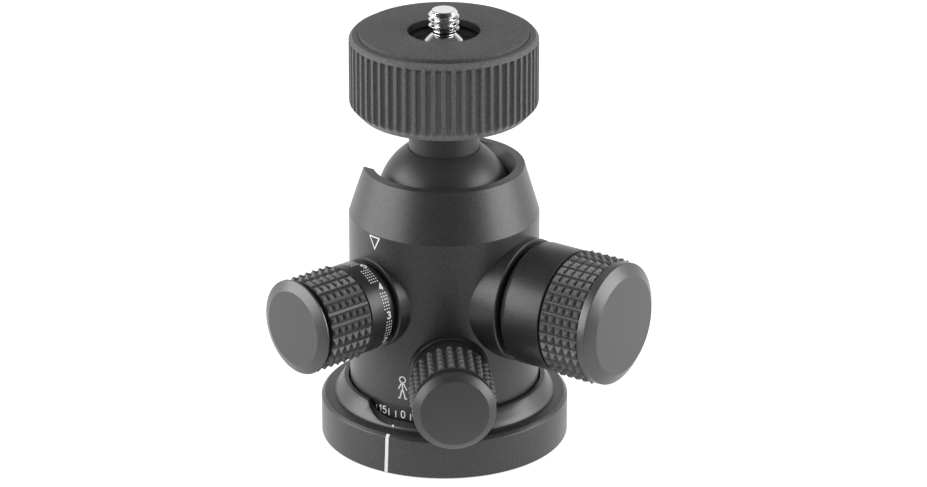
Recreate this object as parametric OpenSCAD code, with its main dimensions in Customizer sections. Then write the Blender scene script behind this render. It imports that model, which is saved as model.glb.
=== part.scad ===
// Tripod ball head with a panning base, three radial control knobs, a drop notch
// and a ribbed camera platform that screws up against the camera.
//
// Frame: millimetres, +Z up, origin on the tripod's mounting face at the middle
// of the base. The clamping knob points along +X and the drop notch along -X.
// Knobs are drawn along their own axis: their height coordinate is the distance
// from the middle of the head, and their azimuth is counted from -Y towards +X.

/* [Base] */
// Radius of the base disc
base_r = 25.5; // [25.2:0.1:27]
// Height of the base disc
base_h = 8.8; // [8.8]
// Chamfer round the top edge of the base disc
base_chamfer = 0.7; // [0.3:0.1:1.2]
// Top height of the conical ring that carries the pan index
ring_top = 12.3; // [12.1:0.1:12.3]
// Azimuth of the middle of the window in the ring
window_az = 11.25; // [10:0.05:12.5]
// Half width of the straight part of the window's lower edge
window_half = 3.07; // [2:0.01:4]
// Radius of the arcs at the two ends of the window
window_arc_r = 7.5; // [6.5:0.1:8.5]
// Hole radius of the 3/8 inch tripod thread
tripod_thread_r = 3.97; // [3.9:0.01:4.76]

/* [Housing] */
// Outer radius of the housing
body_r = 19.5; // [19.4:0.1:19.6]
// Height where the cylinder turns into the cone
cone_z = 48.8; // [48:0.1:50]
// Height of the flat rim
rim_z = 59.1; // [58.8:0.1:59.3]
// Outer radius of the flat rim
rim_r = 16.45; // [16:0.05:17]
// Inner radius of the flat rim
rim_in_r = 14.67; // [14.2:0.05:15]
// Half width of the drop notch
notch_half = 10.9; // [9:0.1:11.5]
// Height of the floor of the drop notch
notch_floor = 43.7; // [43.5:0.1:43.7]
// Corner radius at the floor of the drop notch
notch_corner_r = 3.5; // [1:0.1:3.6]

/* [Ball and neck] */
// Radius of the ball
ball_r = 13.8; // [13.7:0.05:13.8]
// Height of the middle of the ball
ball_z = 51.2; // [51.1:0.05:51.3]
// Radius of the neck
neck_r = 7.2; // [6.5:0.1:7.2]

/* [Camera platform] */
// Radius over the ribs
wheel_r = 19.22; // [19:0.02:19.3]
// Radius at the bottom of the grooves between the ribs
wheel_groove_r = 18.15; // [18.1:0.05:18.6]
// Number of ribs
wheel_ribs = 60; // [40:1:72]
// Underside of the platform
wheel_z = 70.5; // [70.5:0.1:70.8]
// Top land of the platform
wheel_top = 87.0; // [86.8:0.1:87.2]
// Radius of the rubber camera pad
pad_r = 17.2; // [17:0.05:17.6]
// Radius of the hole in the pad
pad_hole_r = 7.23; // [6.5:0.01:7.3]
// How far the pad stands above the land
pad_proud = 0.8; // [0.4:0.1:1.2]
// Crest radius of the 1/4 inch camera screw
screw_r = 3.1; // [2.9:0.05:3.17]
// Top of the camera screw
screw_top = 92.2; // [91:0.1:94]

/* [Clamping knob, on +X] */
// Height of the axis of the clamping knob and the friction knob
knob_z = 33.9; // [33.9]
// Radius of the boss and the smooth collar
main_r = 12.65; // [12.2:0.05:12.8]
// Valley radius of the grip
main_valley_r = 12.2; // [11.9:0.05:12.4]
// Radius over the tips of the grip's pyramids
main_tip_r = 13.1; // [12.7:0.05:13.4]
// Rows of pyramids round the grip
main_rows = 36; // [24:1:44]
// Pyramids along the grip
main_cols = 5; // [3:1:7]

/* [Friction knob, with the scale] */
// Azimuth of the friction knob
friction_az = -14; // [-16:0.5:-12]
// Radius of the boss
friction_boss_r = 9.4; // [9.2:0.1:9.6]
// Radius of the scale ring
friction_scale_r = 9.3; // [9:0.1:9.5]
// Valley radius of the grip
friction_valley_r = 9.1; // [8.8:0.05:9.3]
// Radius over the tips of the grip's pyramids
friction_tip_r = 10.0; // [9.5:0.05:10.2]
// Rows of pyramids round the grip
friction_rows = 24; // [18:1:30]
// Pyramids along the grip
friction_cols = 6; // [4:1:8]

/* [Pan lock knob] */
// Azimuth of the pan lock knob
pan_az = 38; // [36:0.5:40]
// Height of the axis of the pan lock knob
pan_z = 20.9; // [20.9]
// Radius of the boss
pan_boss_r = 8.2; // [8:0.1:8.2]
// Valley radius of the grip
pan_valley_r = 7.95; // [7.7:0.05:8.1]
// Radius over the tips of the grip's pyramids
pan_tip_r = 8.8; // [8.4:0.05:8.9]
// Rows of pyramids round the grip
pan_rows = 24; // [18:1:28]
// Pyramids along the grip
pan_cols = 7; // [5:1:8]

/* [Hidden] */
$fn = 128;

// Running clearance between a shaft and its bush, on the radius
run = 0.05;
// Under the housing: top of the sliding washer and of the housing's floor
spigot_z = 9.9;
floor_z = 25.4;
// Underside of the retaining disc, which is also the top of the post
retainer_z = 25.95;
// Housing bore that guides the clamp cup
bore_r = 15.3;
drum_r = 19.35;
post_r = 9.5;
main_az = 90;

// ---------------------------------------------------------------- helpers

// Puts a piece that is drawn along +Z on a knob axis: z becomes the distance
// from the middle of the head, and +Y of the drawing points up.
module on_axis(az, z) {
    translate([0, 0, z]) rotate([0, 0, az]) rotate([90, 0, 0]) children();
}

// Tube between two stations on its axis
module tube(r_out, r_in, z0, z1) {
    translate([0, 0, z0]) difference() {
        cylinder(r = r_out, h = z1 - z0);
        translate([0, 0, -1]) cylinder(r = r_in, h = z1 - z0 + 2);
    }
}

// Sleeve covered with square pyramids, rows round it and cols along it. lean
// moves each tip along the axis, so that the teeth look like saw teeth.
module pyramid_sleeve(r_valley, r_tip, r_in, z0, z1, rows, cols, lean = 0) {
    pitch = (z1 - z0) / cols;
    grid = [for (j = [0:cols], i = [0:rows - 1])
        [r_valley * cos(360 * i / rows), r_valley * sin(360 * i / rows), z0 + j * pitch]];
    tips = [for (j = [0:cols - 1], i = [0:rows - 1])
        let (a = 360 * (i + 0.5) / rows)
        [r_tip * cos(a), r_tip * sin(a), z0 + (j + 0.5 + lean) * pitch]];
    n_grid = len(grid);
    n_tips = len(tips);
    sides = [for (j = [0:cols - 1], i = [0:rows - 1])
        let (a = j * rows + i, b = j * rows + (i + 1) % rows,
             c = b + rows, d = a + rows, t = n_grid + j * rows + i)
        each [[b, a, t], [c, b, t], [d, c, t], [a, d, t]]];
    low = [for (i = [0:rows - 1]) i];
    high = [for (i = [rows - 1:-1:0]) cols * rows + i];
    difference() {
        polyhedron(points = concat(grid, tips), faces = concat(sides, [low], [high]));
        translate([0, 0, z0 - 1]) cylinder(r = r_in, h = z1 - z0 + 2);
    }
}

// Knob cap: a short cylinder, then a chamfer down to the flat face
module cap(r, r_face, z0, z_edge, z_face, spigot_r, spigot_z0) {
    rotate_extrude() polygon([
        [0, spigot_z0], [spigot_r, spigot_z0], [spigot_r, z0], [r - 0.15, z0],
        [r, z0 + 0.15], [r, z_edge], [r_face, z_face], [0, z_face]]);
}

// Boss of a knob, with a fine chamfer at its open edge
module boss(r, face) {
    cylinder(r = r, h = face - 0.25);
    translate([0, 0, face - 0.25]) cylinder(r1 = r, r2 = r - 0.25, h = 0.25);
}

// Bore of a boss: the spindle's hole, the seat of the thread bush and the
// recess that takes the back of the knob
module boss_bore(hole_r, hole_from, bush_r, bush_from, recess_r, recess_floor) {
    translate([0, 0, hole_from]) cylinder(r = hole_r, h = 20);
    translate([0, 0, bush_from]) cylinder(r = bush_r, h = 20);
    translate([0, 0, recess_floor]) cylinder(r = recess_r, h = 20);
}

// Threaded spindle with a cone point, and a head that holds the knob on it
module spindle(r, tip_r, z_tip, z_head, head_r, head_h) {
    rotate_extrude() polygon([
        [0, z_tip], [tip_r, z_tip], [r, z_tip + r - tip_r], [r, z_head],
        [head_r, z_head], [head_r, z_head + head_h], [0, z_head + head_h]]);
}

// Drop notch: parallel walls, flat floor, rounded corners, open on -X and above
module notch_cut() {
    r = notch_corner_r;
    translate([-26, -notch_half, notch_floor + r]) cube([23, 2 * notch_half, 30]);
    translate([-26, -notch_half + r, notch_floor]) cube([23, 2 * (notch_half - r), 30]);
    for (y = [-notch_half + r, notch_half - r])
        translate([-26, y, notch_floor + r]) rotate([0, 90, 0]) cylinder(r = r, h = 23);
}

// ---------------------------------------------------------------- base

module base_disc() {
    color("#38383a") difference() {
        rotate_extrude() polygon([
            [0, 0], [base_r - 0.3, 0], [base_r, 0.3], [base_r, base_h - base_chamfer],
            [base_r - base_chamfer, base_h], [0, base_h]]);
        translate([0, 0, -1]) cylinder(r = 6.55, h = 12);
        translate([0, 0, -1]) cylinder(r = 8.6, h = 2.9);
    }
}

// Steel insert that takes the tripod's screw and holds the disc to the pivot
module tripod_thread_insert() {
    color("#b8babc") difference() {
        union() {
            translate([0, 0, 0.1]) cylinder(r = 8.5, h = 1.8);
            translate([0, 0, 0.1]) cylinder(r = 6.5, h = 14.4);
        }
        translate([0, 0, -1]) cylinder(r = tripod_thread_r, h = 20);
        translate([0, 0, 0.1]) cylinder(r1 = tripod_thread_r + 0.4, r2 = tripod_thread_r, h = 0.4);
    }
}

// Conical ring with a window over the scale: the window is milled straight in,
// ends in two large arcs and leaves a thin strip at the bottom
module index_ring() {
    strip = base_h + 0.8;
    color("#4c4c4f") difference() {
        rotate_extrude() polygon([
            [19.85, base_h], [22.8, base_h], [22.75, base_h + 0.4], [20.75, ring_top],
            [19.85, ring_top]]);
        on_axis(window_az, strip) {
            translate([-window_half, 0, 12]) cube([2 * window_half, 6, 14]);
            for (x = [-window_half, window_half])
                translate([x, window_arc_r, 12]) cylinder(r = window_arc_r, h = 14);
        }
    }
}

// Steel post that the housing turns on, with a V groove for the pan lock
module pan_pivot() {
    color("#9a9c9e") rotate_extrude() polygon([
        [6.55, base_h], [10.9, base_h], [10.9, 9.75], [post_r, 9.75],
        [post_r, pan_z - 1.9], [post_r - 1.6, pan_z - 0.3], [post_r - 1.6, pan_z + 0.3],
        [post_r, pan_z + 1.9], [post_r, retainer_z], [2.55, retainer_z], [2.55, 16.5],
        [0, 16.5], [0, 15], [6.55, 15]]);
}

module pan_washer() {
    color("#e4e0d4") tube(17, 11.6, base_h, spigot_z - 0.05);
}

module pan_top_washer() {
    color("#e4e0d4") tube(13, post_r + run, floor_z + 0.05, retainer_z);
}

module pan_retainer() {
    color("#9a9c9e") difference() {
        translate([0, 0, retainer_z]) cylinder(r = 13, h = 1.4);
        translate([0, 0, 24]) cylinder(r = 3.2, h = 6);
        translate([0, 0, retainer_z]) cylinder(r1 = 3.2, r2 = 4.6, h = 1.4);
    }
}

module retainer_screw() {
    color("#7c7e80") difference() {
        union() {
            translate([0, 0, 16.6]) cylinder(r = 2.5, h = retainer_z - 16.5);
            translate([0, 0, retainer_z]) cylinder(r1 = 3.15, r2 = 4.55, h = 1.4);
        }
        translate([0, 0, retainer_z - 0.3]) cylinder(r = 1.73, h = 3, $fn = 6);
    }
}

// ---------------------------------------------------------------- housing

module housing() {
    color("#48484b") difference() {
        union() {
            rotate_extrude() polygon([
                [0, spigot_z], [17.9, spigot_z], [17.9, 12.7], [body_r, 12.7],
                [body_r, cone_z], [rim_r + 0.04, rim_z - 0.13], [rim_r - 0.1, rim_z],
                [0, rim_z]]);
            on_axis(main_az, knob_z) boss(main_r, 21.1);
            on_axis(friction_az, knob_z) boss(friction_boss_r, 20.06);
            on_axis(pan_az, pan_z) boss(pan_boss_r, 20.6);
        }
        // Cavity: cup bore, seat of the upper ring, lip and flared mouth
        rotate_extrude() polygon([
            [0, floor_z], [bore_r, floor_z], [bore_r, 55.7], [13.25, 55.7],
            [12.95, 56.4], [rim_in_r, rim_z], [rim_in_r, rim_z + 2], [0, rim_z + 2]]);
        cylinder(r = 11.02, h = floor_z + 1);
        on_axis(main_az, knob_z) boss_bore(3.1, 14, 5.02, 16.2, 11.2, 20.2);
        on_axis(friction_az, knob_z) boss_bore(3.1, 14, 5.02, 16.2, 8.3, 18.9);
        on_axis(pan_az, pan_z) boss_bore(2.6, 10, 4.02, 12, 6.7, 19.3);
        notch_cut();
        // Shallow flat below the notch, which the platform passes when it is down
        translate([-30, -7, 31]) cube([30 - 19.05, 14, 20]);
    }
}

// Black ring with the pan scale, pressed on the housing's spigot
module scale_drum() {
    color("#1e1e20") rotate_extrude() polygon([
        [17.92, 9.3], [drum_r - 0.15, 9.3], [drum_r, 9.45], [drum_r, 12.7], [17.92, 12.7]]);
}

module pan_bearing_bush() {
    color("#b08a4a") difference() {
        tube(11, post_r + run, spigot_z, floor_z);
        on_axis(pan_az, pan_z) translate([0, 0, 5]) cylinder(r = 2.65, h = 10);
    }
}

// Polymer ring under the lip that the ball is pressed against, open at the notch
module upper_seat_ring() {
    color("#d8d4c8") difference() {
        translate([0, 0, 51.9]) cylinder(r = bore_r - 0.02, h = 3.8);
        translate([0, 0, ball_z]) sphere(r = ball_r + 0.05);
        notch_cut();
    }
}

module clamp_thread_bush() {
    color("#b08a4a") on_axis(main_az, knob_z) tube(5, 3 + run, 16.2, 20.2);
}

module friction_thread_bush() {
    color("#b08a4a") on_axis(friction_az, knob_z) tube(5, 3 + run, 16.2, 18.9);
}

module pan_lock_thread_bush() {
    color("#b08a4a") on_axis(pan_az, pan_z) tube(4, 2.5 + run, 12, 19.3);
}

// ---------------------------------------------------------------- clamp and ball

// Cup under the ball. The cone points of the two spindles press on the upper
// side of its groove and push it up.
module clamp_cup() {
    color("#8e9092") difference() {
        rotate_extrude() polygon([
            [0, 33.5], [9.5, 33.5], [9.5, 28.2], [15.25, 28.2], [15.25, 30.05],
            [12.4, 32.9], [12.4, 33.75], [15.25, 36.6], [15.25, 43.3], [0, 43.3]]);
        translate([0, 0, ball_z]) sphere(r = 14.9);
    }
}

// Thin sliding liner between the cup and the ball
module ball_liner() {
    color("#e4e0d4") translate([0, 0, ball_z]) difference() {
        sphere(r = 14.6);
        sphere(r = ball_r + 0.05);
        translate([0, 0, -12]) cylinder(r = 20, h = 40);
        translate([0, 0, -20]) cylinder(r = 3, h = 20);
    }
}

module ball() {
    color("#3c3c3f") difference() {
        translate([0, 0, ball_z]) sphere(r = ball_r);
        translate([0, 0, ball_z + 11.6]) cylinder(r = 20, h = 10);
        translate([0, 0, ball_z - 5.2]) cylinder(r = 4.55, h = 30);
    }
}

module stem() {
    z_neck = ball_z + 11.63;
    color("#3c3c3f") rotate_extrude() polygon([
        [0, ball_z - 5], [4.3, ball_z - 5], [4.5, ball_z - 4.8], [4.5, z_neck],
        [neck_r, z_neck], [neck_r, 84], [neck_r - 0.3, 84.3], [2.6, 84.3], [2.6, 77.5],
        [0, 77.5]]);
}

// Chrome camera screw: shank in the stem, collar, cone and threaded end
module camera_screw() {
    color("#d8dadc") rotate_extrude() polygon([
        [0, 77.6], [2.55, 77.6], [2.55, 84.3], [5, 84.3], [5, 85], [4.3, 85.4],
        [3.9, 86], [3, 87.6], [screw_r, 87.8], [screw_r, screw_top - 0.8],
        [2.3, screw_top], [0, screw_top]]);
}

// ---------------------------------------------------------------- camera platform

// Threaded bush that lifts the platform along the stem
module platform_bush() {
    color("#3c3c3f") tube(9.5, neck_r + run, 71.9, 85.5);
}

// Outline across the ribs: each rib has a flat crest and sloping sides
module rib_outline() {
    pitch = 360 / wheel_ribs;
    crest = 0.35 / wheel_r * 180 / PI;
    root = crest + 0.11 * pitch;
    polygon([for (i = [0:wheel_ribs - 1], k = [0:3])
        let (a = i * pitch + [-root, -crest, crest, root][k],
             r = [wheel_groove_r, wheel_r, wheel_r, wheel_groove_r][k])
        [r * cos(a), r * sin(a)]]);
}

module platform_wheel() {
    rib_top = wheel_top - 0.8;
    color("#3e3e40") difference() {
        union() {
            intersection() {
                rotate([0, 0, 34.7 - 90]) translate([0, 0, wheel_z])
                    linear_extrude(rib_top - wheel_z) rib_outline();
                rotate_extrude() polygon([
                    [0, wheel_z], [17.1, wheel_z], [18.4, wheel_z + 1.4],
                    [wheel_r + 0.1, wheel_z + 2.5], [wheel_r + 0.1, rib_top], [0, rib_top]]);
            }
            // The grooves run out on a slant under the rim
            translate([0, 0, rib_top - 0.9])
                cylinder(r1 = wheel_groove_r - 0.1, r2 = wheel_r - 0.02, h = 0.9);
            translate([0, 0, rib_top]) cylinder(r1 = wheel_r - 0.02, r2 = wheel_r - 0.62, h = 0.8);
        }
        translate([0, 0, wheel_top - 0.7]) cylinder(r = pad_r + 0.05, h = 3);
        translate([0, 0, 71.9]) cylinder(r = 9.5 + run, h = 20);
        translate([0, 0, wheel_z - 1]) cylinder(r = neck_r + 0.25, h = 20);
    }
}

module camera_pad() {
    top = wheel_top + pad_proud;
    color("#58585a") rotate_extrude() polygon([
        [pad_hole_r, wheel_top - 0.7], [pad_r, wheel_top - 0.7], [pad_r, top - 0.15],
        [pad_r - 0.15, top], [pad_hole_r + 0.1, top], [pad_hole_r, top - 0.1]]);
}

// ---------------------------------------------------------------- clamping knob

module clamp_spindle() {
    color("#9a9c9e") on_axis(main_az, knob_z) spindle(3, 1, 14, 37.6, 4.2, 1.8);
}

// Smooth black collar, with the hub that carries the grip and the cap
module clamp_knob_collar() {
    color("#2a2a2c") on_axis(main_az, knob_z) rotate_extrude() polygon([
        [3 + run, 21], [10.8, 21], [10.8, 22.3], [12.2, 22.3], [main_r, 23.3],
        [main_r, 31.25], [main_r - 0.15, 31.4], [11.2, 31.4], [11.2, 40.7],
        [4.4, 40.7], [4.4, 37.5], [3 + run, 37.5]]);
}

module clamp_knob_grip() {
    color("#3a3a3c") on_axis(main_az, knob_z)
        pyramid_sleeve(main_valley_r, main_tip_r, 11.22, 31.55, 40.6, main_rows, main_cols, 0.12);
}

module clamp_knob_cap() {
    color("#757577") on_axis(main_az, knob_z) cap(12.6, 10.2, 40.75, 42.5, 44, 4.3, 39.6);
}

// ---------------------------------------------------------------- friction knob

module friction_spindle() {
    color("#9a9c9e") on_axis(friction_az, knob_z) spindle(3, 1, 14.45, 35.1, 4.2, 1.8);
}

module friction_knob_core() {
    color("#2a2a2c") on_axis(friction_az, knob_z) rotate_extrude() polygon([
        [3 + run, 20], [8, 20], [8, 21.8], [6.95, 21.8], [6.95, 38.25],
        [4.4, 38.25], [4.4, 35], [3 + run, 35]]);
}

module friction_scale_ring() {
    color("#2a2a2c") on_axis(friction_az, knob_z) rotate_extrude() polygon([
        [6.97, 21.84], [friction_scale_r - 0.15, 21.84], [friction_scale_r, 21.99],
        [friction_scale_r, 26.95], [friction_scale_r - 0.15, 27.1], [6.97, 27.1]]);
}

module friction_knob_grip() {
    color("#3a3a3c") on_axis(friction_az, knob_z)
        pyramid_sleeve(friction_valley_r, friction_tip_r, 6.97, 27.15, 37.4,
                       friction_rows, friction_cols, 0.2);
}

module friction_knob_cap() {
    color("#757577") on_axis(friction_az, knob_z) cap(9.8, 7.72, 38.3, 39.2, 40.2, 4.3, 37.1);
}

// ---------------------------------------------------------------- pan lock knob

module pan_lock_spindle() {
    color("#9a9c9e") on_axis(pan_az, pan_z) spindle(2.5, 0.8, 9.6, 33.1, 3.8, 1.6);
}

// Core with the short plain collar behind the grip
module pan_lock_core() {
    color("#2a2a2c") on_axis(pan_az, pan_z) rotate_extrude() polygon([
        [2.5 + run, 19.9], [6.3, 19.9], [6.3, 21.9], [8.0, 21.9], [8.2, 22.1],
        [8.2, 24.15], [6.4, 24.15], [6.4, 36.55], [4, 36.55], [4, 33], [2.5 + run, 33]]);
}

module pan_lock_grip() {
    color("#3a3a3c") on_axis(pan_az, pan_z)
        pyramid_sleeve(pan_valley_r, pan_tip_r, 6.42, 24.2, 35.7, pan_rows, pan_cols, 0.12);
}

module pan_lock_cap() {
    color("#5a5a5c") on_axis(pan_az, pan_z) cap(8.36, 6.87, 36.6, 37.8, 39, 3.9, 34.9);
}

// ---------------------------------------------------------------- drawing

base_disc();
tripod_thread_insert();
index_ring();
pan_pivot();
pan_washer();
pan_top_washer();
pan_retainer();
retainer_screw();
housing();
scale_drum();
pan_bearing_bush();
upper_seat_ring();
clamp_thread_bush();
friction_thread_bush();
pan_lock_thread_bush();
clamp_cup();
ball_liner();
ball();
stem();
camera_screw();
platform_bush();
platform_wheel();
camera_pad();
clamp_spindle();
clamp_knob_collar();
clamp_knob_grip();
clamp_knob_cap();
friction_spindle();
friction_knob_core();
friction_scale_ring();
friction_knob_grip();
friction_knob_cap();
pan_lock_spindle();
pan_lock_core();
pan_lock_grip();
pan_lock_cap();
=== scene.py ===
import math

import bmesh
import bpy
from mathutils import Matrix, Vector


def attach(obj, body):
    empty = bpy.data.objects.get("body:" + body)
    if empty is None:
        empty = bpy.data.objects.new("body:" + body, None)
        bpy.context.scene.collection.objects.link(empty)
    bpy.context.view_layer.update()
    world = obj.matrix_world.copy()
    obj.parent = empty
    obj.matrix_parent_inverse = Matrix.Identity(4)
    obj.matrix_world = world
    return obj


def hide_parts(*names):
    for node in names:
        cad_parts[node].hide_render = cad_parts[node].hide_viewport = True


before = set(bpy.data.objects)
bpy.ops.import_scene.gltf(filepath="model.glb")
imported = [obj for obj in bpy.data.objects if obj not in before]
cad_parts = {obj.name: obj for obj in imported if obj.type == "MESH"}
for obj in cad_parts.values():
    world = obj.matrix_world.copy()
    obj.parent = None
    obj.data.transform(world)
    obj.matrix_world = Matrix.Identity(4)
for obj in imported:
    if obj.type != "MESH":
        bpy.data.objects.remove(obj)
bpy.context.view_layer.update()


# ---------------------------------------------------------------------------
# Camera. The photographer stood nearly opposite the pan lock knob and looked
# down at the head at 22.55 degrees, with a long lens from nearly a metre away.

MM = 0.001  # metres in a millimetre
view_azimuth = math.radians(34.7)
view_down = math.radians(22.55)
camera = bpy.data.objects.new("camera", bpy.data.cameras.new("camera"))
bpy.context.scene.collection.objects.link(camera)
camera.data.sensor_width = 36
camera.data.lens = 172.93
camera.location = (Matrix.Rotation(view_azimuth, 3, "Z")
                   @ Vector((3.95, -843.34, 391.52)) * MM)
camera.rotation_euler = (math.pi / 2 - view_down, 0, view_azimuth)
bpy.context.scene.camera = camera


# ---------------------------------------------------------------------------
# Studio. A pale table that runs on into a white wall, soft boxes to the left
# and the right, a lamp above and behind, and a dark room behind the camera.

def feed(tree, socket, value):
    """Links an input to the output given for it, or sets it to the plain value."""
    if isinstance(value, bpy.types.NodeSocket):
        tree.links.new(value, socket)
    else:
        socket.default_value = value


def shader_node(tree, kind, **sockets):
    """A node of that kind with the named inputs fed."""
    node = tree.nodes.new(kind)
    for name, value in sockets.items():
        feed(tree, node.inputs[name.replace("_", " ")], value)
    return node


def reckoned(tree, operation, *values):
    """Output of a Math node that works on those numbers and outputs."""
    node = tree.nodes.new("ShaderNodeMath")
    node.operation = operation
    for socket, value in zip(node.inputs, values):
        feed(tree, socket, value)
    return node.outputs[0]


def graded(tree, value, start, end, low=0.0, high=1.0, smooth=False):
    """Output that goes from low to high while the value goes from start to end."""
    node = shader_node(tree, "ShaderNodeMapRange", Value=value, From_Min=start,
                       From_Max=end, To_Min=low, To_Max=high)
    if smooth:
        node.interpolation_type = "SMOOTHSTEP"
    return node.outputs["Result"]


def towards_camera(tree, vector, aside):
    """Length of a vector along the line to the camera, taken that angle aside of it."""
    node = shader_node(tree, "ShaderNodeVectorMath", Vector=vector)
    node.operation = "DOT_PRODUCT"
    node.inputs[1].default_value = (math.sin(view_azimuth - aside),
                                    -math.cos(view_azimuth - aside), 0)
    return node.outputs["Value"]


def seen_straight(tree, rays):
    """1 for rays that see the studio straight or through something clear, else 0."""
    return reckoned(tree, "MAXIMUM", rays["Is Camera Ray"], rays["Is Transmission Ray"])


table_radius = 6
table_height = -0.0001  # a hair under the foot, so that the two don't share a face
table_sides = 64
table_mesh = bpy.data.meshes.new("table_top")
table_mesh.from_pydata(
    [(table_radius * math.cos(a), table_radius * math.sin(a), table_height)
     for a in (2 * math.pi * k / table_sides for k in range(table_sides))],
    [], [range(table_sides)])
table_top = bpy.data.objects.new("table_top", table_mesh)
bpy.context.scene.collection.objects.link(table_top)

table_white = bpy.data.materials.new("table_white")
table_white.use_nodes = True
table_tree = table_white.node_tree
table_surface = table_tree.nodes["Principled BSDF"].inputs
table_surface["Base Color"].default_value = (0.45, 0.45, 0.45, 1)
table_surface["Roughness"].default_value = 0.9
table_surface["Emission Color"].default_value = (1, 1, 1, 1)
table_surface["Specular IOR Level"].default_value = 0.1
# The table glows for the camera, and for mirrored rays only away from the dark room.
table_glow = 0.80
rays = table_tree.nodes.new("ShaderNodeLightPath").outputs
seen = seen_straight(table_tree, rays)
ahead = towards_camera(
    table_tree, table_tree.nodes.new("ShaderNodeTexCoord").outputs["Object"], 0.22)
lit_part = graded(table_tree, ahead, 0.12, 0.04, low=0.05, smooth=True)
mirrored = reckoned(table_tree, "MULTIPLY_ADD", rays["Is Glossy Ray"], lit_part, seen)
table_tree.links.new(reckoned(table_tree, "MULTIPLY", mirrored, table_glow),
                     table_surface["Emission Strength"])
table_mesh.materials.append(table_white)

# The wall is white for the camera; mirrors see it dim overhead and behind the camera.
soft_fill = 0.40
world = bpy.data.worlds.new("white_wall")
bpy.context.scene.world = world
world.use_nodes = True
wall = world.node_tree
rays = wall.nodes.new("ShaderNodeLightPath").outputs
seen = seen_straight(wall, rays)
outward = wall.nodes.new("ShaderNodeTexCoord").outputs["Generated"]
upward = shader_node(wall, "ShaderNodeSeparateXYZ", Vector=outward).outputs["Z"]
out_of_room = graded(wall, towards_camera(wall, outward, 0.14), 0.8, 0.1, low=0.06,
                     smooth=True)
below_ceiling = graded(wall, upward, 0.7, 0.3, low=0.12, smooth=True)
mirrored = reckoned(wall, "MULTIPLY", rays["Is Glossy Ray"],
                    reckoned(wall, "MULTIPLY", out_of_room, below_ceiling))
fill = reckoned(wall, "MULTIPLY_ADD", rays["Is Diffuse Ray"], soft_fill, mirrored)
background = wall.nodes["Background"].inputs
background["Color"].default_value = (1, 1, 1, 1)
wall.links.new(reckoned(wall, "MAXIMUM", seen, fill), background["Strength"])


def soft_box(name, azimuth, height, distance, width, tall, watts):
    """Area lamp that looks at the head's middle from that azimuth and height, in metres."""
    lamp = bpy.data.objects.new(name, bpy.data.lights.new(name, "AREA"))
    bpy.context.scene.collection.objects.link(lamp)
    lamp.data.shape = "RECTANGLE"
    lamp.data.size, lamp.data.size_y = width, tall
    lamp.data.energy = watts
    a = math.radians(azimuth)
    lamp.location = (distance * math.sin(a), -distance * math.cos(a), height)
    aim = Vector((0, 0, 0.045)) - lamp.location
    lamp.rotation_euler = aim.to_track_quat("-Z", "Y").to_euler()


soft_box("left_box", -46, 0.30, 0.90, width=1.05, tall=0.80, watts=11.4)
soft_box("right_box", 116, 0.34, 0.95, width=0.80, tall=0.76, watts=9.8)
soft_box("top_box", 215, 0.80, 0.35, width=0.6, tall=0.5, watts=0.6)


# ---------------------------------------------------------------------------
# Base disc. Turned from aluminium bar, bead blasted and anodised black, with
# a chamfered top edge. The foot is flat and has the tripod bush in its middle.

def effect_group(name, inputs, outputs):
    """An empty node group with float inputs and the named outputs."""
    group = bpy.data.node_groups.new(name, "ShaderNodeTree")
    for label, value in inputs.items():
        socket = group.interface.new_socket(
            name=label, in_out="INPUT", socket_type="NodeSocketFloat")
        socket.default_value = value
    for label in outputs:
        group.interface.new_socket(
            name=label, in_out="OUTPUT", socket_type="NodeSocketFloat")
    return group, group.nodes.new("NodeGroupInput"), group.nodes.new("NodeGroupOutput")


# Grain: fine blasted pits, with slow blotches where the finish took unevenly.
grain, grain_in, grain_out = effect_group(
    "grain", {"Pits per metre": 9000.0, "Blotches per metre": 90.0},
    ["Pits", "Specks", "Blotches"])
position = grain.nodes.new("ShaderNodeTexCoord").outputs["Object"]
pits = shader_node(grain, "ShaderNodeTexNoise", Vector=position, Detail=3.0, Roughness=0.6,
                   Scale=grain_in.outputs["Pits per metre"]).outputs["Fac"]
blotches = shader_node(grain, "ShaderNodeTexNoise", Vector=position, Detail=2.0,
                       Scale=grain_in.outputs["Blotches per metre"]).outputs["Fac"]
grain.links.new(pits, grain_out.inputs["Pits"])
grain.links.new(graded(grain, pits, 0.3, 0.7), grain_out.inputs["Specks"])
grain.links.new(blotches, grain_out.inputs["Blotches"])


def blended(tree, blend, factor, first, second):
    """Output of a Mix node for colours: the second blended over the first."""
    node = tree.nodes.new("ShaderNodeMix")
    node.data_type = "RGBA"
    node.blend_type = blend
    for name, value in (("Factor", factor), ("A", first), ("B", second)):
        feed(tree, node.inputs[name], value)
    return node.outputs["Result"]


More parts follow.
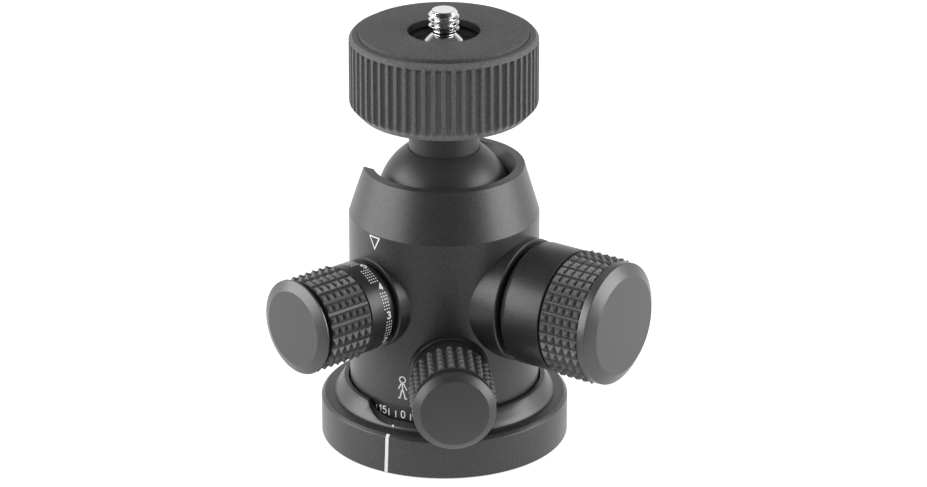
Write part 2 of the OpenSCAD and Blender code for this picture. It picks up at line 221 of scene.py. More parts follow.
def finish_material(name, colour, roughness, metallic=0.0, pits_per_metre=9000.0,
                    bump=0.1, speckle=0.1, blotch=0.06, specular=0.5, coat=0.0,
                    coat_roughness=0.2):
    """Plain-coloured finish with grain in its colour, its gloss and its surface."""
    uneven_gloss = 0.04
    pit_depth = 0.1 * MM
    material = bpy.data.materials.new(name)
    material.use_nodes = True
    tree = material.node_tree
    surface = tree.nodes["Principled BSDF"].inputs
    group = tree.nodes.new("ShaderNodeGroup")
    group.node_tree = grain
    group.inputs["Pits per metre"].default_value = pits_per_metre
    swing = speckle + blotch
    light, dark = (tuple(c * k for c in colour) + (1.0,) for k in (1 + swing, 1 - swing))
    shade = reckoned(
        tree, "ADD", reckoned(tree, "MULTIPLY", group.outputs["Specks"], speckle / swing),
        reckoned(tree, "MULTIPLY", group.outputs["Blotches"], blotch / swing))
    relief = shader_node(tree, "ShaderNodeBump", Height=group.outputs["Pits"],
                         Strength=bump, Distance=pit_depth)
    for socket, value in (
            ("Base Color", blended(tree, "MIX", shade, dark, light)),
            ("Roughness", graded(tree, group.outputs["Blotches"], 0.0, 1.0,
                                 roughness - uneven_gloss, roughness + uneven_gloss)),
            ("Normal", relief.outputs["Normal"]), ("Metallic", metallic),
            ("Specular IOR Level", specular), ("Coat Weight", coat),
            ("Coat Roughness", coat_roughness)):
        feed(tree, surface[socket], value)
    return material


def softened(outline, radius):
    """Outline of (r, z) points with every corner rounded by that radius, in mm."""
    share, steps = 0.45, 4  # how much of an edge a corner may take, and its facets
    points = [Vector(p) for p in outline]
    out = []
    for i, corner in enumerate(points):
        if i in (0, len(points) - 1):
            out.append(corner)
            continue
        before, after = points[i - 1] - corner, points[i + 1] - corner
        reach = min(radius, before.length * share, after.length * share)
        start = corner + before.normalized() * reach
        end = corner + after.normalized() * reach
        for k in range(steps + 1):
            t = k / steps
            out.append(start * (1 - t) ** 2 + corner * 2 * t * (1 - t) + end * t ** 2)
    return out


def new_piece(name, mesh, material, body, stands_for=()):
    """Links the mesh as a piece that rides on that body, in place of the solids it stands for.
    """
    crisp_edge = math.radians(35)
    piece = bpy.data.objects.new(name, mesh)
    bpy.context.scene.collection.objects.link(piece)
    mesh.materials.append(material)
    mesh.shade_smooth()
    mesh.set_sharp_from_angle(angle=crisp_edge)
    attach(piece, body)
    if stands_for:
        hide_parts(*stands_for)
    return piece


def finished_mesh(name, shape):
    """Mesh of that name from the built-up shape, with its faces turned outward."""
    bmesh.ops.recalc_face_normals(shape, faces=shape.faces)
    mesh = bpy.data.meshes.new(name)
    shape.to_mesh(mesh)
    shape.free()
    return mesh


def round_axis(shape, r, a, z):
    """New vertex r from the axis, at the angle a from +X and the height z, in mm."""
    return shape.verts.new((r * MM * math.cos(a), r * MM * math.sin(a), z * MM))


def skin_between(shape, pairs, segments):
    """Faces between each pair of rings; a ring of one vertex is a point on the axis."""
    for low, high in pairs:
        for k in range(segments):
            n = (k + 1) % segments
            corners = [low[k % len(low)], low[n % len(low)],
                       high[n % len(high)], high[k % len(high)]]
            unique = list(dict.fromkeys(corners))
            if len(unique) > 2:
                shape.faces.new(unique)


def turned_mesh(name, outline, segments=256, place=Matrix()):
    """Lathe-turned solid: the (r, z) outline in mm, closed by itself or at r = 0."""
    shape = bmesh.new()
    rings = []
    for r, z in outline:
        if r < 1e-6:
            rings.append([shape.verts.new((0, 0, z * MM))])
        else:
            rings.append([round_axis(shape, r, 2 * math.pi * k / segments, z)
                          for k in range(segments)])
    pairs = list(zip(rings, rings[1:]))
    if len(rings[0]) > 1:
        pairs.append((rings[-1], rings[0]))
    skin_between(shape, pairs, segments)
    mesh = finished_mesh(name, shape)
    mesh.transform(place)
    return mesh


base_radius = 25.5
chamfer_start = 8.1
blasted_black = finish_material("blasted_black", (0.044, 0.044, 0.046), 0.40, metallic=0.4,
                                bump=0.35, speckle=0.3, pits_per_metre=2600.0,
                                coat=0.3, coat_roughness=0.35)
base_outline = [(6.55, 0), (25.2, 0), (base_radius, 0.3), (base_radius, chamfer_start),
                (24.8, 8.8), (6.55, 8.8)]
new_piece("base_disc_turned", turned_mesh("base_disc_turned", softened(base_outline, 0.12)),
          blasted_black, "base", ["base_disc"])


def stroke_mesh(name, strokes, width, wrap, proud=0.03, sunk=0.02):
    """Painted lines: closed ribbons along (u, v) strokes in mm, laid on by wrap(u, v, h)."""
    shape = bmesh.new()
    for stroke in strokes:
        points = [Vector(p) for p in stroke]
        looped = (points[0] - points[-1]).length < 1e-6
        if looped:
            points.pop()
        n = len(points)
        rows = []
        for i, p in enumerate(points):
            ahead = points[(i + 1) % n] - p if looped or i < n - 1 else None
            behind = p - points[i - 1] if looped or i > 0 else None
            along = (ahead or behind).normalized() + (behind or ahead).normalized()
            along.normalize()
            side = Vector((-along.y, along.x))
            square = (ahead or behind).normalized()
            reach = width / 2 / max(0.5, abs(side.dot(Vector((-square.y, square.x)))))
            rows.append([shape.verts.new(Vector(wrap(*(p + side * reach * s), h)) * MM)
                         for s, h in ((1, -sunk), (1, proud), (-1, proud), (-1, -sunk))])
        for i in range(n if looped else n - 1):
            here, there = rows[i], rows[(i + 1) % n]
            for k in range(4):
                shape.faces.new((here[k], here[(k + 1) % 4], there[(k + 1) % 4], there[k]))
        if not looped:
            shape.faces.new(rows[0])
            shape.faces.new(rows[-1][::-1])
    return finished_mesh(name, shape)


def round_the_side(radius, azimuth, height):
    """Wrap for marks on an upright cylinder: u runs round it, v runs up."""
    def wrap(u, v, h):
        a = math.radians(azimuth) + u / radius
        return ((radius + h) * math.sin(a), -(radius + h) * math.cos(a), height + v)
    return wrap


white_paint = finish_material("white_paint", (0.93, 0.93, 0.93), 0.5, bump=0.1,
                              speckle=0.04, blotch=0.04, pits_per_metre=14000.0)


def down_the_base(u, v, h):
    """Wrap for the index line: v runs up the disc's side and on over its chamfer."""
    a = math.radians(7.35) + u / base_radius
    r = base_radius - max(0.0, v - chamfer_start) + h
    return (r * math.sin(a), -r * math.cos(a), v)


line_points = [(0.18, 8.62), (0.16, chamfer_start), (0.03, 4.2), (-0.14, 0.3)]
new_piece("base_index_line",
          stroke_mesh("base_index_line", [line_points], 0.72, down_the_base, proud=0.05),
          white_paint, "base")


# ---------------------------------------------------------------------------
# Tripod bush. Machined steel, screwed up into the disc and the post, with the
# 3/8 inch thread that the tripod's screw goes into.

def dress(node, material):
    """Gives a solid of the frame its finish."""
    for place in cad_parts[node].material_slots:
        place.material = material


turned_steel = finish_material("turned_steel", (0.50, 0.50, 0.51), 0.34, metallic=1.0,
                               bump=0.06, speckle=0.08, pits_per_metre=5000.0)
dress("tripod_thread_insert", turned_steel)


# ---------------------------------------------------------------------------
# Index ring. A conical aluminium ring, satin anodised, with a milled window
# over the pan scale. A dot on the strip under the window marks the reading.

def round_edges(piece, name, width, angle):
    """Rounds the piece's edges over that many degrees by the width in mm."""
    edge = piece.modifiers.new(name, "BEVEL")
    edge.width = width * MM
    edge.segments = 2
    edge.limit_method = "ANGLE"
    edge.angle_limit = math.radians(angle)
    edge.harden_normals = True


satin_ring = finish_material("satin_ring", (0.075, 0.075, 0.078), 0.36, metallic=0.4,
                             bump=0.08, speckle=0.08)
dress("index_ring", satin_ring)
index_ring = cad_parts["index_ring"]
joined = index_ring.modifiers.new("joined", "WELD")
joined.merge_threshold = 1e-6
round_edges(index_ring, "soft_edges", 0.08, 28)


def dot_mesh(name, spots, radius, wrap, proud=0.03, sunk=0.02, sides=12):
    """Painted dots: small closed discs at (u, v) spots in mm, laid on by wrap(u, v, h)."""
    shape = bmesh.new()
    circle = [(radius * math.cos(a), radius * math.sin(a))
              for a in (2 * math.pi * k / sides for k in range(sides))]
    for u, v in spots:
        low, high = ([shape.verts.new(Vector(wrap(u + x, v + y, h)) * MM)
                      for x, y in circle] for h in (-sunk, proud))
        shape.faces.new(low[::-1])
        shape.faces.new(high)
        skin_between(shape, [(low, high)], sides)
    return finished_mesh(name, shape)


new_piece("ring_index_dot",
          dot_mesh("ring_index_dot", [(0, 0)], 0.26, round_the_side(22.6, 7.4, 9.5), proud=0.1),
          white_paint, "base")


# ---------------------------------------------------------------------------
# Pan bearing. A steel post with sliding washers of white polymer, closed by a
# disc and a countersunk screw. All of it is inside the housing.

sliding_polymer = finish_material("sliding_polymer", (0.72, 0.69, 0.62), 0.5, bump=0.05,
                                  speckle=0.03, blotch=0.05)
for node in ("pan_pivot", "pan_retainer", "retainer_screw"):
    dress(node, turned_steel)
for node in ("pan_washer", "pan_top_washer"):
    dress(node, sliding_polymer)


# ---------------------------------------------------------------------------
# Housing. One turned and milled aluminium body with its cone, its three knob
# bosses and the drop notch, bead blasted and anodised black. A triangle and a
# small figure are printed on it in white.

housing_radius = 19.5
dress("housing", blasted_black)


def circle_points(u, v, radius, count=20):
    """Closed circle of (u, v) points in mm."""
    return [(u + radius * math.cos(a), v + radius * math.sin(a))
            for a in (2 * math.pi * (k % count) / count for k in range(count + 1))]


triangle_lines = [[(-1.34, 1.28), (0, 1.28), (1.34, 1.28), (0.04, -1.3), (-1.34, 1.28)]]
new_piece("housing_triangle",
          stroke_mesh("housing_triangle", triangle_lines, 0.26,
                      round_the_side(housing_radius, -11.2, 47.1)),
          white_paint, "head")
figure_lines = [
    circle_points(0, 0, 0.66),
    [(0, -0.72), (0, -2.6)],
    [(-0.95, -2.2), (-0.35, -1.0), (0, -0.9), (0.35, -1.0), (0.95, -2.2)],
    [(-1.0, -4.15), (-0.6, -4.1), (-0.16, -2.4), (0.16, -2.4), (0.6, -4.1), (1.0, -4.15)],
]
new_piece("housing_figure",
          stroke_mesh("housing_figure", figure_lines, 0.28,
                      round_the_side(housing_radius, 9.0, 18.6)),
          white_paint, "head")


# ---------------------------------------------------------------------------
# Scale drum. A black ring pressed on the housing's spigot, printed with a line
# every 5 degrees and a number every 15.

drum_radius = 19.35
drum_black = finish_material("drum_black", (0.022, 0.022, 0.023), 0.38, bump=0.05,
                             speckle=0.1)
dress("scale_drum", drum_black)

# Pen strokes of each digit in a box 0.6 wide and 1 high, and how round they are.
digit_pen = {
    "0": (0.1, [[(0.3, 1), (0.12, 0.94), (0.04, 0.75), (0.04, 0.25), (0.12, 0.06), (0.3, 0),
                 (0.48, 0.06), (0.56, 0.25), (0.56, 0.75), (0.48, 0.94), (0.3, 1)]]),
    "1": (0.02, [[(0.1, 0.74), (0.36, 1), (0.36, 0)]]),
    "2": (0.06, [[(0.05, 0.74), (0.1, 0.92), (0.24, 1), (0.38, 1), (0.52, 0.91), (0.56, 0.75),
                  (0.5, 0.58), (0.04, 0.02), (0.58, 0)]]),
    "3": (0.06, [[(0.06, 0.84), (0.12, 0.95), (0.24, 1), (0.38, 1), (0.51, 0.92), (0.54, 0.77),
                  (0.5, 0.62), (0.38, 0.55), (0.22, 0.54)],
                 [(0.24, 0.54), (0.42, 0.53), (0.55, 0.43), (0.58, 0.27), (0.54, 0.1),
                  (0.41, 0.01), (0.22, 0), (0.08, 0.07), (0.03, 0.2)]]),
    "4": (0.02, [[(0.44, 0), (0.44, 1), (0.02, 0.3), (0.6, 0.3)]]),
    "5": (0.06, [[(0.54, 1), (0.12, 1)], [(0.12, 1), (0.07, 0.54)],
                 [(0.07, 0.54), (0.2, 0.64), (0.4, 0.64), (0.54, 0.53), (0.58, 0.33),
                  (0.54, 0.12), (0.41, 0.01), (0.22, 0), (0.08, 0.07), (0.03, 0.19)]]),
    "6": (0.08, [[(0.53, 0.87), (0.44, 0.98), (0.3, 1), (0.14, 0.92), (0.05, 0.7), (0.04, 0.3),
                  (0.11, 0.08), (0.3, 0), (0.49, 0.08), (0.57, 0.3), (0.5, 0.53), (0.3, 0.61),
                  (0.12, 0.54), (0.05, 0.38)]]),
    "7": (0.02, [[(0.04, 1), (0.56, 1), (0.2, 0)]]),
    "8": (0.08, [[(0.3, 1), (0.13, 0.93), (0.08, 0.77), (0.14, 0.6), (0.3, 0.54), (0.46, 0.6),
                  (0.52, 0.77), (0.47, 0.93), (0.3, 1)],
                 [(0.3, 0.54), (0.1, 0.46), (0.03, 0.27), (0.1, 0.08), (0.3, 0), (0.5, 0.08),
                  (0.57, 0.27), (0.5, 0.46), (0.3, 0.54)]]),
    "9": (0.08, [[(0.07, 0.13), (0.16, 0.02), (0.3, 0), (0.46, 0.08), (0.55, 0.3), (0.56, 0.7),
                  (0.49, 0.92), (0.3, 1), (0.11, 0.92), (0.03, 0.7), (0.1, 0.47), (0.3, 0.39),
                  (0.48, 0.46), (0.55, 0.62)]]),
}


def number_strokes(text, middle, height):
    """Strokes of a number of that height in mm, centred on the (u, v) point middle."""
    out = []
    for i, digit in enumerate(text):
        left = middle[0] + ((i - len(text) / 2) * 0.72 + 0.06) * height
        roundness, lines = digit_pen[digit]
        for line in lines:
            out.append([(left + p[0] * height, middle[1] + (p[1] - 0.5) * height)
                        for p in softened(line, roundness)])
    return out


degrees_a_line, lines_a_number = 5, 3
drum_marks = []
for line in range(360 // degrees_a_line):
    u = math.radians(-degrees_a_line * line) * drum_radius
    if line % lines_a_number:
        drum_marks.append([(u, -1.1), (u, 0.4)])
    else:
        drum_marks += number_strokes(str(degrees_a_line * line), (u, -0.1), 1.5)
new_piece("pan_scale_marks",
          stroke_mesh("pan_scale_marks", drum_marks, 0.22,
                      round_the_side(drum_radius, 9.0, 10.9)),
          white_paint, "head")


# ---------------------------------------------------------------------------
# Bushes and clamp. Brass thread bushes in the bosses and on the post, and the
# cup with its sliding liner that grips the ball from below.

turned_brass = finish_material("turned_brass", (0.62, 0.43, 0.19), 0.3, metallic=1.0,
                               bump=0.06, speckle=0.06, pits_per_metre=5000.0)
for node in ("pan_bearing_bush", "clamp_thread_bush", "friction_thread_bush",
             "pan_lock_thread_bush"):
    dress(node, turned_brass)
cup_alloy = finish_material("cup_alloy", (0.36, 0.36, 0.37), 0.42, metallic=1.0, bump=0.08)
dress("clamp_cup", cup_alloy)
dress("ball_liner", sliding_polymer)
dress("upper_seat_ring", sliding_polymer)


# ---------------------------------------------------------------------------
# Ball and neck. A hollow-turned aluminium ball, finely blasted and anodised
# black, with its neck screwed in and threaded for the platform.

ball_satin = finish_material("ball_satin", (0.045, 0.045, 0.047), 0.38, metallic=0.3,
                             bump=0.06, speckle=0.08)
for node in ("ball", "stem", "platform_bush"):
    dress(node, ball_satin)


# ---------------------------------------------------------------------------
# Platform wheel. Moulded in hard black rubber on a black anodised bush: sixty
# ribs with flat crests, closed at the top by the rim, and a bevel underneath.

ribs = 60
first_rib = 34.7  # degrees round from the front, towards the photographer


def rib_section():
    """(angle, radius) points across one rib and half a groove on either side, in mm."""
    mean_radius, floor_radius, rib_radius = 19.0, 18.15, 19.22
    arc = math.radians(1) * mean_radius
    corners = softened([(-3 * arc, floor_radius), (-1.75 * arc, floor_radius),
                        (-1.04 * arc, rib_radius), (1.04 * arc, rib_radius),
                        (1.75 * arc, floor_radius), (3 * arc, floor_radius)], 0.13)
    return [(p[0] / mean_radius, p[1]) for p in corners][:-1]


def crest_radius(z):
    """Radius of the wheel over its ribs at that height, in mm."""
    steps = [(70.5, 17.1), (71.9, 18.4), (72.7, 19.1), (73.1, 19.22), (86.15, 19.2),
             (86.35, 19.12), (86.85, 18.7), (87.0, 18.55)]
    for (z0, r0), (z1, r1) in zip(steps, steps[1:]):
        if z <= z1:
            return r0 + (r1 - r0) * (z - z0) / (z1 - z0)
    return steps[-1][1]


def wheel_mesh():
    """Mesh of the wheel in rings: ribs outside, the pad's seat and the bore inside."""
    shape = bmesh.new()
    section = rib_section()
    slant_start, slant_radius = 85.34, 18.36
    columns = [(math.radians(360 / ribs * k + first_rib) + a, r)
               for k in range(ribs) for a, r in section]
    heights = [70.5, 70.62, 71.2, 71.55, 71.9, 72.2, 72.45, 72.7, 72.9, 73.1, 75, 77.5, 80,
               82.5, 84.6, 85.2, 85.28, 85.34, 85.6, 85.9, 86.12, 86.2, 86.35, 86.6, 86.85,
               87.0]

    def ring(radii, z):
        return [shape.verts.new((r * MM * math.sin(a), -r * MM * math.cos(a), z * MM))
                for (a, _), r in zip(columns, radii)]

    rings = []
    for z in heights:
        # Near the top the floor of each groove slants out and closes it under the rim.
        run_out = slant_radius + (z - slant_start) if z >= slant_start else 0
        rings.append(ring([min(crest_radius(z), max(r, run_out)) for _, r in columns], z))
    for r, z in ((17.33, 87.0), (17.25, 86.92), (17.25, 86.28), (9.6, 86.28), (9.6, 71.85),
                 (7.5, 71.85), (7.5, 70.6), (7.55, 70.5), (16.98, 70.5)):
        rings.append(ring([r] * len(columns), z))
    skin_between(shape, zip(rings, rings[1:] + rings[:1]), len(columns))
    return finished_mesh("platform_wheel_ribbed", shape)


def tint(material, blend, factor, colour):
    """Blends a colour, or the output that gives it, over the material's own colour."""
    tree = material.node_tree
    base_colour = tree.nodes["Principled BSDF"].inputs["Base Color"]
    tree.links.new(
        blended(tree, blend, factor, base_colour.links[0].from_socket, colour), base_colour)


wheel_rubber = finish_material("wheel_rubber", (0.118, 0.118, 0.120), 0.6, bump=0.5,
                               speckle=0.32, pits_per_metre=2100.0, specular=0.3)
# Pale dust in the grooves between the ribs, up to where they run out, together with painted
# light that lifts the grooves' shade.
tree = wheel_rubber.node_tree
position = tree.nodes.new("ShaderNodeTexCoord").outputs["Object"]
flat = shader_node(tree, "ShaderNodeVectorMath", Vector=position)
flat.operation = "MULTIPLY"
flat.inputs[1].default_value = (1, 1, 0)
from_axis = shader_node(tree, "ShaderNodeVectorMath", Vector=flat.outputs[0])
from_axis.operation = "LENGTH"
in_groove = graded(tree, from_axis.outputs["Value"], 19.1 * MM, 18.2 * MM)
up = shader_node(tree, "ShaderNodeSeparateXYZ", Vector=position).outputs["Z"]
below_rim = graded(tree, up, 85.5 * MM, 85.1 * MM)
tint(wheel_rubber, "ADD", reckoned(tree, "MULTIPLY", in_groove, below_rim),
     (0.12, 0.12, 0.12, 1))
new_piece("platform_wheel_ribbed", wheel_mesh(), wheel_rubber, "platform",
          ["platform_wheel"])


# ---------------------------------------------------------------------------
# Camera pad. A ring of grained rubber glued in the wheel's seat, so that the
# camera doesn't turn on the platform.

def closed_ring(name, outline, radius):
    """Turned ring whose outline starts and ends in the middle of a straight edge."""
    return turned_mesh(name, softened(outline, radius)[:-1])


pad_grained = finish_material("pad_grained", (0.066, 0.066, 0.068), 0.62, bump=0.6,
                              speckle=0.42, blotch=0.05, pits_per_metre=1900.0)
new_piece("camera_pad_grained",
          closed_ring("camera_pad_grained",
                      [(12, 87.8), (17.2, 87.8), (17.2, 86.3), (7.38, 86.3), (7.38, 87.8),
                       (12, 87.8)], 0.16),
          pad_grained, "platform", ["camera_pad"])
# A near-black sleeve inside the pad's hole: painted shade down the hole.
hole_shade_black = finish_material("hole_shade_black", (0.018, 0.018, 0.019), 0.6, bump=0.1,
                              specular=0.2)
new_piece("pad_hole_painted_shade",
          closed_ring("pad_hole_painted_shade",
                      [(7.3, 87.7), (7.38, 87.7), (7.38, 86.3), (7.23, 86.3), (7.23, 87.7),
                       (7.3, 87.7)], 0.04),
          hole_shade_black, "platform")


# ---------------------------------------------------------------------------
# Camera screw. A 1/4 inch screw with 20 turns to the inch, chromed steel, with
# a collar and a cone under its thread, screwed down into the neck.

def camera_screw_mesh():
    """Mesh of the screw in rings: the thread's crest climbs by its pitch in a turn."""
    shape = bmesh.new()
    count, rows = 96, 90
    pitch, phase, thread_start, thread_end = 1.27, 87.4, 87.8, 92.12
    root_radius, root_step, thread_depth, crest_limit = 2.25, 0.15, 0.7, 3.1
    crest_width, flank = 1.42, 3.5

    def ring(radii, z):
        return [round_axis(shape, r, 2 * math.pi * k / count, z)
                for k, r in enumerate(radii)]

    lower = softened([(2.55, 77.6), (2.55, 84.3), (5, 84.3), (5, 85.1), (4.25, 85.55),
                      (4.05, 86.0), (2.6, 87.1), (root_radius, 87.35),
                      (root_radius, 87.75)], 0.1)
    rings = [ring([r] * count, z) for r, z in lower]
    for i in range(rows + 1):
        z = thread_start + (thread_end - thread_start) * i / rows
        crest = min(crest_limit, 2.42 + (thread_end - z) * 0.75)
        starts = min(1.0, max(0.0, (z - thread_start) / 0.5))
        radii = []
        for k in range(count):
            part = ((z - phase) / pitch - k / count) % 1.0
            tooth = min(1.0, max(0.0, crest_width - abs(part - 0.5) * flank))
            tooth = tooth * tooth * (3 - 2 * tooth)
            radii.append(
                min(crest, root_radius + (root_step + thread_depth * tooth) * starts))
        rings.append(ring(radii, z))
    rings.append(ring([2.32] * count, 92.2))
    skin_between(shape, zip(rings, rings[1:]), count)
    shape.faces.new(rings[0][::-1])
    shape.faces.new(rings[-1])
    return finished_mesh("camera_screw_threaded", shape)


bright_chrome = finish_material("bright_chrome", (0.80, 0.80, 0.80), 0.14, metallic=1.0,
                                bump=0.01, speckle=0.03, pits_per_metre=3000.0)
new_piece("camera_screw_threaded", camera_screw_mesh(), bright_chrome, "neck",
          ["camera_screw"])


# ---------------------------------------------------------------------------
# Clamping knob. A smooth anodised collar, a grip covered with small pyramids
# and a flat cap, all on a steel spindle that pushes on the cup.

def knob_place(azimuth, height):
    """Matrix from a piece's own axis to a knob's axis: +Z points out of the head."""
    return (Matrix.Translation((0, 0, height * MM))
            @ Matrix.Rotation(math.radians(azimuth), 4, "Z")
            @ Matrix.Rotation(math.pi / 2, 4, "X"))


upper_knobs = 33.9
dress("clamp_spindle", turned_steel)
collar_satin = finish_material("collar_satin", (0.045, 0.045, 0.047), 0.34, metallic=0.4,
                               bump=0.25, speckle=0.28, pits_per_metre=3000.0)
clamp_place = knob_place(90, upper_knobs)
new_piece("clamp_knob_collar_turned",
          turned_mesh("clamp_knob_collar_turned", softened(
              [(3.05, 21), (10.8, 21), (10.8, 22.3), (12.2, 22.3), (12.65, 23.3), (12.65, 31.4),
               (11.2, 31.4), (11.2, 40.7), (4.4, 40.7), (4.4, 37.5), (3.05, 37.5)], 0.14),
              place=clamp_place),
          collar_satin, "clamp_knob", ["clamp_knob_collar"])
grip_rubber = finish_material("grip_rubber", (0.072, 0.072, 0.073), 0.42, bump=0.2,
                              speckle=0.2, pits_per_metre=3500.0)
# Painted highlight on the tips and painted shade in the bands between them, by each point's
# height on its pyramid.
tree = grip_rubber.node_tree
tooth = tree.nodes.new("ShaderNodeAttribute")
tooth.attribute_name = "tooth"
tip_highlight_and_valley_shade = shader_node(tree, "ShaderNodeMapRange", Value=tooth.outputs["Fac"], To_Min=0.55,
                     To_Max=2.0)
tip_highlight_and_valley_shade.clamp = False
tint(grip_rubber, "MULTIPLY", 1.0, tip_highlight_and_valley_shade.outputs["Result"])


def pyramid_grip(name, place, size, rows, cols, lean, band, start, body, tip_light=1.0):
    """Moulded sleeve of leaning pyramids in rows, with a flat band between the rows.

    size is the radius of the bands, of the tips and of the bore, then both ends, in mm.
    lean and start are shares of a pyramid's length and width, band its flat share, and
    the last argument scales the painted highlight on the tips over painted shade in the bands.
    """
    valley, tip, bore, back, front = size
    shape = bmesh.new()
    pitch, step = (front - back) / cols, 2 * math.pi / rows
    half = step * (1 - band) / 2
    middles = [step * (i + start) for i in range(rows)]

    def edges(r, z):
        return [(round_axis(shape, r, a - half, z), round_axis(shape, r, a + half, z))
                for a in middles]

    grid = [edges(valley, back + j * pitch) for j in range(cols + 1)]
    ends = [edges(bore, z) for z in (back, front)]
    for i, a in enumerate(middles):
        n = (i + 1) % rows
        for j in range(cols):
            (left, right), (left_up, right_up) = grid[j][i], grid[j + 1][i]
            peak = round_axis(shape, tip, a, back + (j + 0.5 + lean) * pitch)
            around = [left, right, right_up, left_up]
            for low, high in zip(around, around[1:] + around[:1]):
                shape.faces.new((low, high, peak))
            shape.faces.new((right, grid[j][n][0], grid[j + 1][n][0], right_up))
        for rim, inner in ((grid[0], ends[0]), (grid[-1], ends[1])):
            shape.faces.new((rim[i][0], rim[i][1], inner[i][1], inner[i][0]))
            shape.faces.new((rim[i][1], rim[n][0], inner[n][0], inner[i][1]))
        for k, m in (((i, 0), (i, 1)), ((i, 1), (n, 0))):
            shape.faces.new((ends[0][k[0]][k[1]], ends[0][m[0]][m[1]],
                             ends[1][m[0]][m[1]], ends[1][k[0]][k[1]]))
    mesh = finished_mesh(name + "_pyramids", shape)
    height = mesh.attributes.new("tooth", "FLOAT", "POINT")
    for vertex in mesh.vertices:
        out = math.hypot(vertex.co.x, vertex.co.y) / MM
        height.data[vertex.index].value = tip_light * max(0.0, (out - valley) / (tip - valley))
    mesh.transform(place)
    grip = new_piece(name + "_pyramids", mesh, grip_rubber, body, [name])
    round_edges(grip, "worn_tips", 0.08, 20)


pyramid_grip("clamp_knob_grip", clamp_place, (12.2, 13.1, 11.22, 31.55, 40.6), rows=36,
             cols=5, lean=0.15, band=0.14, start=0.5, body="clamp_knob")
cap_matt = finish_material("cap_matt", (0.098, 0.098, 0.100), 0.35, metallic=0.55, bump=0.15,
                           speckle=0.08, pits_per_metre=2800.0)
new_piece("clamp_knob_cap_turned",
          turned_mesh("clamp_knob_cap_turned", softened(
              [(0, 39.6), (4.3, 39.6), (4.3, 40.75), (12.6, 40.75), (12.6, 42.5), (10.2, 44),
               (0, 44)], 0.12), place=clamp_place),
          cap_matt, "clamp_knob", ["clamp_knob_cap"])


# ---------------------------------------------------------------------------
# Friction knob. The second knob on the same level: a numbered ring, a grip
# with pyramids and a flat cap. Dots between the numbers grow with the force.

friction_azimuth = -14
ring_radius = 9.3
dress("friction_spindle", turned_steel)
dress("friction_knob_core", collar_satin)
friction_place = knob_place(friction_azimuth, upper_knobs)
new_piece("friction_scale_ring_turned",
          turned_mesh("friction_scale_ring_turned", softened(
              [(6.97, 21.84), (ring_radius, 21.84), (ring_radius, 27.1), (6.97, 27.1)], 0.15),
              place=friction_place),
          collar_satin, "friction_knob", ["friction_scale_ring"])
pyramid_grip("friction_knob_grip", friction_place, (9.1, 10.0, 6.97, 27.15, 37.4), rows=24,
             cols=6, lean=0.25, band=0.24, start=0.5, body="friction_knob")
new_piece("friction_knob_cap_turned",
          turned_mesh("friction_knob_cap_turned", softened(
              [(0, 37.1), (4.3, 37.1), (4.3, 38.3), (9.1, 38.3), (9.1, 38.7), (9.8, 38.8),
               (9.8, 39.2), (7.72, 40.2), (0, 40.2)], 0.1), place=friction_place),
          cap_matt, "friction_knob", ["friction_knob_cap"])


def round_the_ring(station, angle):
    """Wrap for marks on the numbered ring: u runs towards the head, v round the ring."""
    azimuth = math.radians(friction_azimuth)
    out = Vector((math.sin(azimuth), -math.cos(azimuth), 0))
    side, up = Vector((-out.y, out.x, 0)), Vector((0, 0, 1))

    def wrap(u, v, h):
        a = math.radians(angle) + v / ring_radius
        return (out * (station - u) + up * upper_knobs
                + (ring_radius + h) * (math.cos(a) * side + math.sin(a) * up))
    return wrap


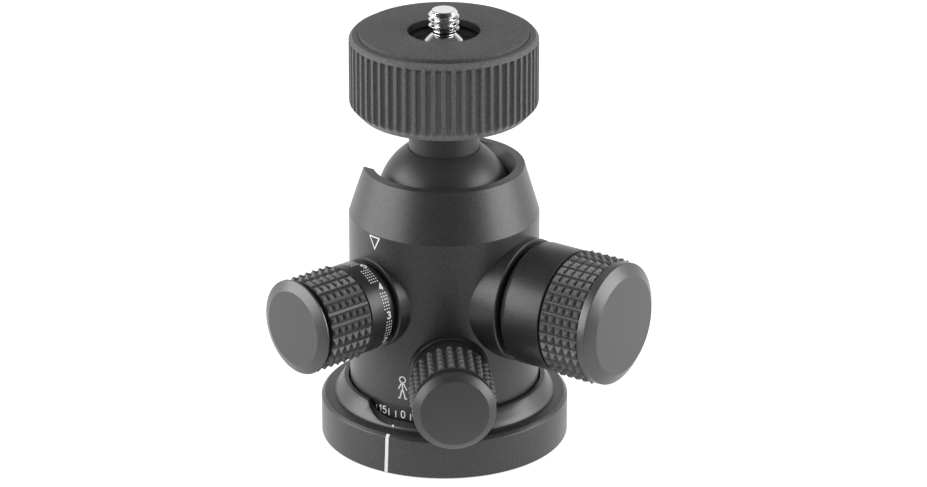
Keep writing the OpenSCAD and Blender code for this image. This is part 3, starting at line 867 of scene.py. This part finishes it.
# After each number but the last, as many rows of dots as the force calls for.
rows_of_dots = (2, 3, 3, 4, 4, 5, 5, 0)
dots_in_row, row_step = 6, 0.57
number_turn, first_dot_turn, dot_turn = 37.5, 8.6, 4.06  # degrees
ring_numbers, ring_dots = [], []
for number, dot_rows in enumerate(rows_of_dots, 1):
    v = math.radians(number_turn) * (number - 3) * ring_radius
    ring_numbers += number_strokes(str(number), (0, v), 1.4)
    for row in range(dot_rows):
        for dot in range(dots_in_row):
            ring_dots.append(
                (-(0.3 * number + row_step * row),
                 v + math.radians(first_dot_turn + dot_turn * dot) * ring_radius))
new_piece("friction_numbers",
          stroke_mesh("friction_numbers", ring_numbers, 0.30, round_the_ring(22.85, 6)),
          white_paint, "friction_knob")
new_piece("friction_dots",
          dot_mesh("friction_dots", ring_dots, 0.15, round_the_ring(21.6, 6)),
          white_paint, "friction_knob")


# ---------------------------------------------------------------------------
# Pan lock knob. The small knob low on the front: a plain collar, a grip with
# pyramids and a cap in a darker copy of the caps' finish, painted shade for the cap that faces
# the camera. Its spindle presses in the groove of the post.

dress("pan_lock_spindle", turned_steel)
pan_place = knob_place(38, 20.9)
new_piece("pan_lock_core_turned",
          turned_mesh("pan_lock_core_turned", softened(
              [(2.55, 19.9), (6.3, 19.9), (6.3, 21.9), (8.2, 21.9), (8.2, 24.15), (6.4, 24.15),
               (6.4, 36.55), (4, 36.55), (4, 33), (2.55, 33)], 0.14), place=pan_place),
          collar_satin, "pan_lock_knob", ["pan_lock_core"])
# The pan lock grip gets a stronger painted highlight on its tips.
pyramid_grip("pan_lock_grip", pan_place, (7.9, 8.8, 6.42, 24.2, 34.5), rows=24, cols=5,
             lean=0.25, band=0.26, start=0.18, body="pan_lock_knob", tip_light=1.6)
# A near-black ring at the grip's front end: painted shadow in the gap under the cap.
new_piece("pan_lock_painted_shadow_ring",
          turned_mesh("pan_lock_painted_shadow_ring", softened(
              [(6.42, 34.5), (7.7, 34.5), (7.7, 35.7), (6.42, 35.7)], 0.1), place=pan_place),
          drum_black, "pan_lock_knob")
# A darker copy of the other caps' finish: painted shade for the cap that faces the camera.
shaded_cap_matt = finish_material("shaded_cap_matt", (0.075, 0.075, 0.077), 0.36, metallic=0.55,
                                bump=0.15, speckle=0.08, pits_per_metre=2800.0)
new_piece("pan_lock_cap_turned",
          turned_mesh("pan_lock_cap_turned", softened(
              [(0, 34.9), (3.9, 34.9), (3.9, 36.6), (7.5, 36.6), (7.5, 37.3), (8.36, 37.4),
               (8.36, 37.8), (6.87, 39), (0, 39)], 0.1), place=pan_place),
          shaded_cap_matt, "pan_lock_knob", ["pan_lock_cap"])


# ---------------------------------------------------------------------------
# Last, the plain Standard view transform, so that colours render as they are given.

bpy.context.scene.view_settings.view_transform = "Standard"
